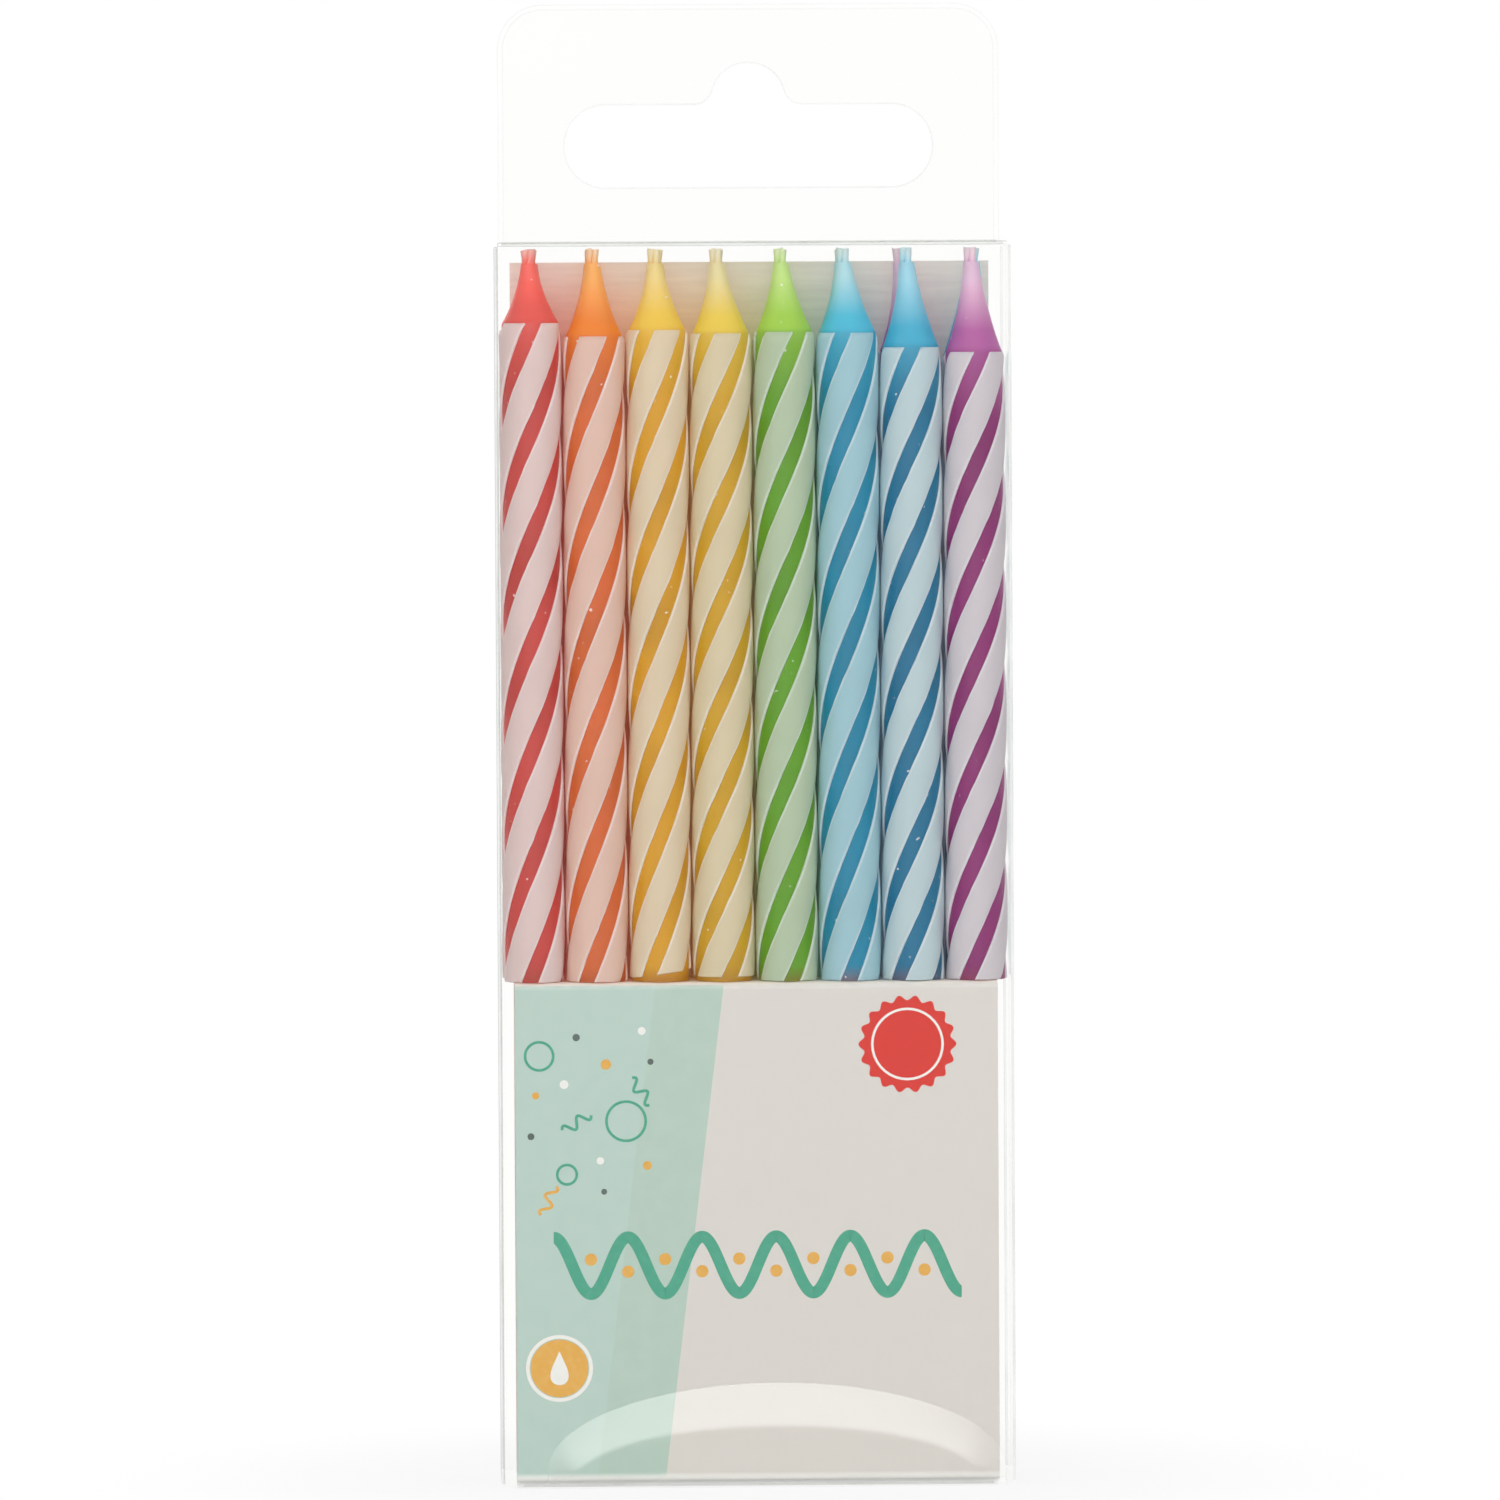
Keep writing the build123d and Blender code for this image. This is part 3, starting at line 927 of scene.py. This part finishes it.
@dataclass
class ClearBox:
    """The folded film box with its hang tab, flaps and tuck tongues. Sizes in millimetres."""

    film: float = 0.25
    tongue_side: float = 1.0
    tongue_grid: tuple[int, int] = (72, 32)
    bow: float = 0.82
    swell_by: float = 1.1
    bend_half: float = 16.4
    bend_height: float = 4.4
    rim_fade: float = 8.0
    fold_radius: float = 0.6
    fold_arc: float = 30.0
    fold_skin: float = 0.015
    fold_lift: float = 0.01
    fold_foot: float = 0.4
    fold_top: float = 0.15
    bead: float = 0.1
    bead_back: float = 0.05
    bead_front: float = 0.12
    bead_short: float = 0.3
    bead_shorter: float = 0.5
    cut_line: float = 0.14
    cut_skin: float = 0.006
    cut_lift: float = 0.012
    weld: float = 0.001

    def build(self) -> None:
        """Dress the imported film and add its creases, its cut edges and the bowed bottom tongue."""
        film = ClearFilm("clear_pet_film")
        for node in ("clear_sleeve", "hang_tab_front_ply", "lid", "lid_tongue", "bottom_flap"):
            dress(node, film)
        self.build_bowed_tongue(ClearFilm("clear_pet_film_sprung", rim_gleam=0.038, blur=0.3))
        self.build_corner_creases(CreasedFilm("creased_pet_film"))
        self.build_flap_creases(CreasedFilm("creased_pet_film_fold", cover=0.13))
        self.build_cut_edges(CreasedFilm("die_cut_pet_edge", cover=0.03))

    @staticmethod
    def inside(x: float, z: float, half: float, height: float) -> float:
        """Measure roughly how far a place is inside half an ellipse.

        Args:
            x: The place across it, from its middle.
            z: The place above its foot.
            half: Half the ellipse's width.
            height: Half the ellipse's height.

        Returns:
            The way to its edge, less than 0 outside it.
        """
        level = max(1e-6, math.hypot(x / half, z / height))
        return (1 - level) * level / max(1e-6, math.hypot(x / half ** 2, z / height ** 2))

    def spring(self, x: float, z: float, half: float, height: float) -> float:
        """How far the tongue's rim has sprung forward at a place on it.

        Args:
            x: The place across the tongue, from its middle.
            z: The place above its fold.
            half: Half the tongue's width.
            height: The tongue's height.

        Returns:
            The share of its bow: 0 at its edge, then straight forward to 1 at its arched bend and inside it.
        """
        above_side = max(0.0, z - self.tongue_side)
        from_edge = max(0.0, self.inside(x, above_side, half, height - self.tongue_side))
        from_bend = -self.inside(x, z, self.bend_half, self.bend_height)
        return 1.0 if from_bend <= 0 else from_edge / (from_edge + from_bend)

    def build_bowed_tongue(self, finish: Finish) -> None:
        """The bottom tongue, sprung forward inside its arched bend, with its rim leaning back to the card.

        Args:
            finish: The clear film.
        """
        low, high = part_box("bottom_tongue")
        middle, half, height = (low.x + high.x) / 2 / MM, (high.x - low.x) / 2 / MM, (high.z - low.z) / MM
        bm = bmesh.new()
        columns, rows = self.tongue_grid
        bmesh.ops.create_grid(bm, x_segments=columns, y_segments=rows, size=1.0)
        for v in bm.verts:
            x, share = half * math.sin(v.co.x * math.pi / 2), (v.co.y + 1) / 2
            top = self.tongue_side + (height - self.tongue_side) * math.cos(v.co.x * math.pi / 2)
            z = share * top
            out_of_fold = 0.5 - 0.5 * math.cos(math.pi * min(1.0, z / self.swell_by))
            swell = self.spring(x, z, half, height) * self.bow * out_of_fold
            v.co = Vector((middle + x, high.y / MM - swell, low.z / MM + z)) * MM
        bm.normal_update()
        bmesh.ops.solidify(bm, geom=bm.faces[:], thickness=-self.film * MM)
        bmesh.ops.recalc_face_normals(bm, faces=bm.faces)

        def rim(point: Vector) -> float:
            """1 on the leaning rim, 0 inside the bend."""
            sprung = self.spring(point.x / MM - middle, (point.z - low.z) / MM, half, height)
            return min(1.0, max(0.0, (1 - sprung) * self.rim_fade))

        publish(bm, "bowed_bottom_tongue", finish, "bottom_tongue", ["bottom_tongue"],
                marks={"rim": rim})

    def build_corner_creases(self, finish: Finish) -> None:
        """The four upright folds: a thin skin of stretched film round each corner of the sleeve.

        Args:
            finish: The stretched film.
        """
        low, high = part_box("clear_sleeve")
        foot, top = low.z + self.fold_foot * MM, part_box("lid")[0].z - self.fold_top * MM
        radius, arc = self.fold_radius * MM, math.radians(self.fold_arc)
        bm = bmesh.new()
        for x_side, y, quarter in ((-1, low.y, 2), (1, low.y, 3), (1, high.y, 0), (-1, high.y, 1)):
            centre = Vector((x_side * (high.x - radius), y - math.copysign(radius, y), 0.0))
            first = quarter * math.pi / 2 + (math.pi / 2 - arc) / 2
            start = centre + Vector((math.cos(first), math.sin(first), 0.0)) * (radius + self.fold_lift * MM)
            ends = [bm.verts.new((start.x, start.y, z)) for z in (foot, top)]
            edge = bm.edges.new(ends)
            bmesh.ops.spin(bm, geom=ends + [edge], cent=centre, axis=(0, 0, 1), angle=arc, steps=4)
        bmesh.ops.recalc_face_normals(bm, faces=bm.faces)
        bmesh.ops.solidify(bm, geom=bm.faces[:], thickness=-self.fold_skin * MM)
        publish(bm, "upright_fold_lines", finish, "box")

    def build_flap_creases(self, finish: Finish) -> None:
        """The folds of the flaps: a fine bead of stretched film along each, on the body that carries it.

        Args:
            finish: The stretched film.
        """
        (_, lid_y, lid_z), lid_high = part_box("lid")
        (_, bottom_y, bottom_z), bottom_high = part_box("bottom_flap")
        wide = lid_high.x - self.bead_short * MM
        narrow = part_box("card_insert")[1].x - self.bead_shorter * MM
        radius, back, front = self.bead * MM, self.bead_back * MM, self.bead_front * MM
        for name, body, half, y, z in (
                ("lid_fold_line", "box", wide, lid_high.y + back, lid_high.z + back),
                ("lid_front_fold_line", "lid", wide, lid_y + front, lid_z + front),
                ("bottom_fold_line", "box", narrow, bottom_high.y + back, bottom_high.z - back),
                ("bottom_front_fold_line", "bottom_flap", narrow, bottom_y + front, bottom_z + front)):
            bm = bmesh.new()
            bmesh.ops.create_cone(bm, cap_ends=True, segments=12, radius1=radius, radius2=radius,
                                  depth=2 * half, matrix=Matrix.Rotation(math.pi / 2, 4, "Y"))
            bmesh.ops.translate(bm, verts=bm.verts, vec=(0.0, y, z))
            publish(bm, name, finish, body)

    def build_cut_edges(self, finish: Finish) -> None:
        """The hang tab's die-cut edges: a fine line along each ply's outline, clouded by the cutting rule.

        Args:
            finish: The clouded film.
        """
        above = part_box("hang_tab_front_ply")[0].z
        for node in ("hang_tab_front_ply", "clear_sleeve"):
            bm = bmesh.new()
            bm.from_mesh(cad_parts[node].data)
            bmesh.ops.remove_doubles(bm, verts=bm.verts, dist=self.weld * MM)
            bmesh.ops.bisect_plane(bm, geom=everything(bm), plane_co=(0.0, 0.0, above),
                                   plane_no=(0.0, 0.0, 1.0), clear_inner=True)
            bm.normal_update()
            others = [f for f in bm.faces if f.normal.y >= -0.99]
            bmesh.ops.delete(bm, geom=others, context="FACES")
            rim = bmesh.ops.inset_region(bm, faces=bm.faces[:], thickness=self.cut_line * MM,
                                         use_boundary=True, use_even_offset=True)["faces"]
            middle = [f for f in bm.faces if f not in set(rim)]
            bmesh.ops.delete(bm, geom=middle, context="FACES")
            bmesh.ops.translate(bm, verts=bm.verts, vec=(0.0, -self.cut_lift * MM, 0.0))
            bmesh.ops.recalc_face_normals(bm, faces=bm.faces)
            bmesh.ops.solidify(bm, geom=bm.faces[:], thickness=-self.cut_skin * MM)
            publish(bm, f"cut_edge_{node}", finish, "box")


@dataclass
class CardInsert:
    """The printed card: its board, and its printed motifs in five inks. Sizes in millimetres."""

    ink_depth: float = 0.012

    def __post_init__(self) -> None:
        """Read the card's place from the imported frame, and mix the inks."""
        low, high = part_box("card_insert")
        self.front, self.rear, self.foot = low.y, high.y, low.z
        self.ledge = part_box("front_red_core")[0].z
        self.inks = {
            "teal": OffsetInk("offset_ink_teal", "#3E9F82", "#5DB296"),
            "orange": OffsetInk("offset_ink_orange", "#E3A944", "#ECC074"),
            "red": OffsetInk("offset_ink_red", "#D6200E", "#DC321E"),
            "white": OffsetInk("offset_ink_white", "#F3F1EC", "#E4EAE5"),
            "slate": OffsetInk("offset_ink_slate", "#4D5C58", "#6F7C78"),
        }
        self.drawn = {name: bmesh.new() for name in self.inks}

    def build(self) -> None:
        """Dress the board and print it."""
        dress("card_insert", PrintedBoard("coated_boxboard", self.front, self.rear, self.foot, self.ledge))
        self.print_streamer()
        self.print_confetti()
        self.print_seal()
        self.print_badge()
        for name, bm in self.drawn.items():
            bmesh.ops.recalc_face_normals(bm, faces=bm.faces)
            publish(bm, f"print_{name}", self.inks[name], "box")

    def disc(self, ink: str, segments: int, radius: float = 1.0) -> list[BMVert]:
        """Draw a filled circle about the origin and return its points."""
        made = bmesh.ops.create_circle(self.drawn[ink], cap_ends=True, segments=segments, radius=radius)
        return made["verts"]

    def stamp(self, ink: str, verts: Sequence[BMVert], x: float, z: float, layer: int = 0) -> None:
        """Lay a flat shape, drawn in x and y about the origin in millimetres, on the card's front.

        Args:
            ink: The ink that it is printed in.
            verts: The shape's points.
            x: Where its middle goes across the card.
            z: Where its middle goes above the floor.
            layer: How many inks lie under it.
        """
        bm = self.drawn[ink]
        depth = self.ink_depth * MM
        place = Matrix.Translation((x * MM, self.front - layer * depth, z * MM))
        upright = place @ Matrix.Rotation(math.pi / 2, 4, "X")
        bmesh.ops.transform(bm, matrix=upright @ Matrix.Scale(MM, 4), verts=verts)
        faces = list({f for v in verts for f in v.link_faces})
        made = bmesh.ops.extrude_face_region(bm, geom=faces)["geom"]
        lifted = [v for v in made if isinstance(v, BMVert)]
        bmesh.ops.translate(bm, verts=lifted, vec=(0.0, -depth, 0.0))

    def dot(self, ink: str, x: float, z: float, radius: float) -> None:
        """Print a round dot."""
        self.stamp(ink, self.disc(ink, 28, radius), x, z)

    def ring(self, ink: str, x: float, z: float, radius: float, line: float, layer: int = 0) -> None:
        """Print a ring.

        Args:
            ink: The ring's ink.
            x: Its middle across the card.
            z: Its middle above the floor.
            radius: Its outer radius.
            line: The width of its line.
            layer: How many inks lie under it.
        """
        bm = self.drawn[ink]
        face = self.disc(ink, 36, radius)[0].link_faces[0]
        rim = bmesh.ops.inset_region(bm, faces=[face], thickness=line, use_boundary=True,
                                     use_even_offset=True)["faces"]
        kept = list({v for f in rim for v in f.verts})
        bmesh.ops.delete(bm, geom=[face], context="FACES_ONLY")
        self.stamp(ink, kept, x, z, layer)

    def stroke(self, ink: str, x: float, z: float, span: float, line: float, wave: Callable[[float], float],
               slope: float = 0.0) -> None:
        """Print a line of even width that follows a wave.

        Args:
            ink: The line's ink.
            x: Its middle across the card.
            z: Its middle above the floor.
            span: Its length along the wave's axis.
            line: Its width.
            wave: Height of the wave at a place along its axis.
            slope: The axis's slope, in degrees.
        """
        bm = self.drawn[ink]
        verts = bmesh.ops.create_grid(bm, x_segments=round(span * 14), y_segments=1, size=0.5)["verts"]
        step = 0.01
        for v in verts:
            at, side = v.co.x * span, v.co.y * line
            climb = (wave(at + step) - wave(at - step)) / (2 * step)
            across = Vector((-climb, 1.0)).normalized() * side
            v.co = Vector((at + across.x, wave(at) + across.y, 0.0))
        rotate(bm, verts, math.radians(slope))
        self.stamp(ink, verts, x, z)

    def print_streamer(self) -> None:
        """A teal streamer across the card, with an orange dot in each of its bays."""
        z, length, height, line, bays = 17.9, 33.0, 2.3, 0.95, 11
        bay, dot_radius, dot_shift = length / bays, 0.5, 0.5
        self.stroke("teal", 0.0, z, length, line, lambda at: height * math.sin(math.pi * at / bay))
        for i in range(bays - 1):
            x = (i + 1 - bays / 2) * bay
            self.dot("orange", x, z - dot_shift * math.sin(math.pi * x / bay), dot_radius)

    def print_confetti(self) -> None:
        """Loose confetti on the mint field: rings, dots and curls."""
        for x, z, radius in ((-17.6, 34.9, 1.25), (-10.6, 29.6, 1.7), (-15.4, 25.3, 0.9)):
            self.ring("teal", x, z, radius, 0.22)
        for ink, x, z, radius in (
                ("slate", -14.6, 36.4, 0.3), ("slate", -8.6, 34.4, 0.25), ("slate", -18.3, 28.4, 0.28),
                ("orange", -12.2, 34.2, 0.42), ("orange", -17.9, 31.7, 0.3), ("orange", -8.9, 26.0, 0.36),
                ("white", -15.6, 32.6, 0.36), ("white", -12.7, 26.4, 0.3), ("white", -9.3, 36.9, 0.32),
                ("slate", -12.4, 23.9, 0.24)):
            self.dot(ink, x, z, radius)
        length, line, height, wave = 2.6, 0.24, 0.42, 1.4
        for ink, x, z, slope in (
                ("teal", -14.6, 29.5, 35), ("teal", -9.4, 32.0, -50), ("orange", -16.9, 23.2, 70)):
            self.stroke(ink, x, z, length, line, lambda at: height * math.sin(math.tau * at / wave), slope)

    def print_seal(self) -> None:
        """A plain red scalloped seal with a white ring, at the upper right."""
        x, z, radius, scallop, lobes = 12.2, 35.7, 3.75, 0.22, 18
        verts = self.disc("red", lobes * 8)
        for v in verts:
            v.co *= radius + scallop * math.cos(lobes * math.atan2(v.co.y, v.co.x))
        self.stamp("red", verts, x, z)
        self.ring("white", x, z, 2.95, 0.2, layer=1)

    def print_badge(self) -> None:
        """An orange badge with a white rim and a white flame, at the lower left."""
        x, z, half_width, half_height = -16.1, 9.6, 0.95, 1.35
        self.dot("orange", x, z, 2.35)
        self.ring("white", x, z, 2.72, 0.3, layer=1)
        verts = self.disc("white", 40)
        for v in verts:
            up = (v.co.y + 1) / 2
            v.co = Vector((v.co.x * (1.15 - up) * half_width, v.co.y * half_height, 0.0))
        self.stamp("white", verts, x, z, layer=1)


@dataclass
class Studio:
    """White paper, soft lamps and a long lens in front. Sizes in millimetres, angles in degrees."""

    distance: float = 950.0
    azimuth: float = -1.6
    elevation: float = 2.0
    roll: float = -0.3
    aim: Point = (-0.28, 0.0, 59.4)
    front_depth: float = 6.5
    frame_width: float = 121.0
    sensor: float = 36.0
    floor_half: float = 4000.0
    floor_gap: float = 0.02
    world_light: float = 0.28
    # Each film wall has two faces, and a look through the box from the side meets many.
    clear_faces: int = 32

    def build(self) -> None:
        """Set up the floor, the world, the lamps and the camera."""
        scene = bpy.context.scene
        scene.view_settings.view_transform = "Standard"
        scene.cycles.transparent_max_bounces = self.clear_faces
        self.lay_floor()
        self.light_world()
        self.hang_lamp("key_softbox", (-60, -1000, 365), (1000, 380), 4.8)
        self.hang_lamp("left_softbox", (-700, -560, 360), (500, 700), 1.0)
        self.hang_lamp("right_softbox", (700, -560, 360), (500, 700), 1.0)
        self.hang_lamp("top_softbox", (0, 60, 1050), (700, 700), 2.7)
        self.hang_lamp("rear_softbox", (-160, 900, 460), (800, 500), 2.4)
        self.place_camera()

    def lay_floor(self) -> None:
        """A wide sheet of white paper under the box."""
        bm = bmesh.new()
        bmesh.ops.create_grid(bm, x_segments=4, y_segments=4, size=self.floor_half * MM)
        mesh = bpy.data.meshes.new("paper_floor")
        bm.to_mesh(mesh)
        bm.free()
        mesh.materials.append(StudioFloor("seamless_paper").material())
        floor = bpy.data.objects.new("paper_floor", mesh)
        floor.location.z = CAD_BOX[0].z - self.floor_gap * MM
        bpy.context.scene.collection.objects.link(floor)

    def light_world(self) -> None:
        """A white surround to the eye and in reflections, and a softer light on everything else."""
        world = bpy.data.worlds.new("white_surround")
        bpy.context.scene.world = world
        world.use_nodes = True
        tree = world.node_tree
        tree.nodes.clear()
        level = add(tree, "MapRange", {"Value": seen_directly(tree), "To Min": self.world_light})
        glow = add(tree, "Background", {"Color": linear(WHITE), "Strength": level})
        add(tree, "OutputWorld", {"Surface": glow})

    def hang_lamp(self, name: str, place: Point, size: tuple[float, float], watts: float) -> None:
        """Hang a softbox and turn it to the box.

        Args:
            name: The lamp's name.
            place: Where it hangs.
            size: Its width and height.
            watts: Its power.
        """
        lamp = bpy.data.lights.new(name, "AREA")
        lamp.shape = "RECTANGLE"
        lamp.size, lamp.size_y = size[0] * MM, size[1] * MM
        lamp.energy = watts
        holder = bpy.data.objects.new(name, lamp)
        holder.location = Vector(place) * MM
        holder.rotation_mode = "QUATERNION"
        holder.rotation_quaternion = (Vector(self.aim) * MM - holder.location).to_track_quat("-Z", "Y")
        bpy.context.scene.collection.objects.link(holder)

    def place_camera(self) -> None:
        """A long lens a little to the left of the box and above it."""
        across, up = math.radians(self.azimuth), math.radians(self.elevation)
        back = Vector((math.sin(across) * math.cos(up), -math.cos(across) * math.cos(up), math.sin(up)))
        eye = bpy.data.cameras.new("photo_camera")
        eye.sensor_width = self.sensor
        eye.lens = self.sensor * (self.distance - self.front_depth) / self.frame_width
        eye.clip_start, eye.clip_end = 10 * MM, 20.0
        camera = bpy.data.objects.new("photo_camera", eye)
        camera.location = (Vector(self.aim) + back * self.distance) * MM
        camera.rotation_mode = "QUATERNION"
        tilt = Matrix.Rotation(math.radians(self.roll), 3, "Z").to_quaternion()
        camera.rotation_quaternion = (-back).to_track_quat("-Z", "Y") @ tilt
        bpy.context.scene.collection.objects.link(camera)
        bpy.context.scene.camera = camera


def main() -> None:
    """Build the candles, the card, the clear box and the studio."""
    logging.basicConfig(level=logging.INFO, format="%(name)s: %(message)s")
    CandleRows().build()
    CardInsert().build()
    ClearBox().build()
    Studio().build()


if __name__ == "__main__":
    main()
